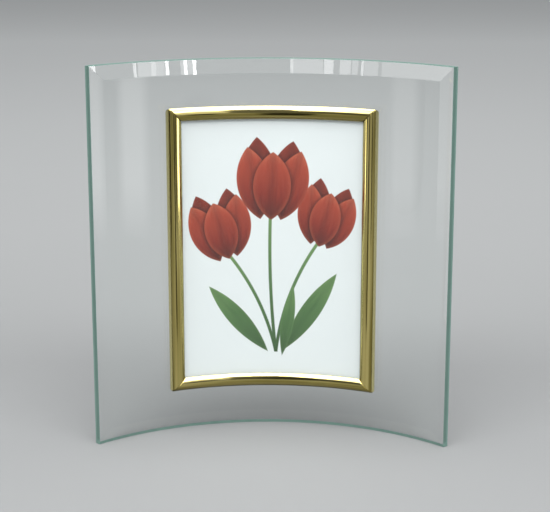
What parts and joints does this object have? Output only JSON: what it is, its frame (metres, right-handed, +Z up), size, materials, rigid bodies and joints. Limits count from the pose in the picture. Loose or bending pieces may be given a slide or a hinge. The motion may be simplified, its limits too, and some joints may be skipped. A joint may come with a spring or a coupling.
{
  "type": "curved glass photo frame",
  "caption": "Free-standing bent pane of bevelled glass with a gilt mitred moulding on its hollow front, which holds a photo that drops in from above.",
  "frame": {"origin": "on the table under the middle of the box round the pane", "axes": "+Z up, along the straight lines of the bent pane; -Y towards the viewer, out of its hollow side; +X to the viewer's right"},
  "size_m": [0.158, 0.0342, 0.17],
  "materials": {
    "glass": "polished float glass with a pale green edge",
    "gilt": "polished gilt over rolled metal strip",
    "key_steel": "stamped zinc-plated steel",
    "tape": "pale double-sided foam tape",
    "clear_film": "clear plastic film",
    "print_paper": "printed photo paper with a red and green flower design",
    "card": "grey backing card"
  },
  "bodies": {
    "frame": {"glass_pane": "glass", "top_rail": "gilt", "bottom_rail": "gilt", "left_stile": "gilt", "right_stile": "gilt", "corner_key_top_left": "key_steel", "corner_key_top_right": "key_steel", "corner_key_bottom_left": "key_steel", "corner_key_bottom_right": "key_steel", "bond_tape_left": "tape", "bond_tape_right": "tape", "bond_tape_bottom": "tape"},
    "film": {"cover_sheet": "clear_film"},
    "picture": {"photo_print": "print_paper"},
    "card": {"backing_card": "card"}
  },
  "joints": [
    {"name": "film_slide", "type": "slide", "parent": "frame", "child": "film", "axis": [0, 0, 1], "range_m": [0, 0.135]},
    {"name": "picture_slide", "type": "slide", "parent": "frame", "child": "picture", "axis": [0, 0, 1], "range_m": [0, 0.135]},
    {"name": "card_slide", "type": "slide", "parent": "frame", "child": "card", "axis": [0, 0, 1], "range_m": [0, 0.135]}
  ]
}
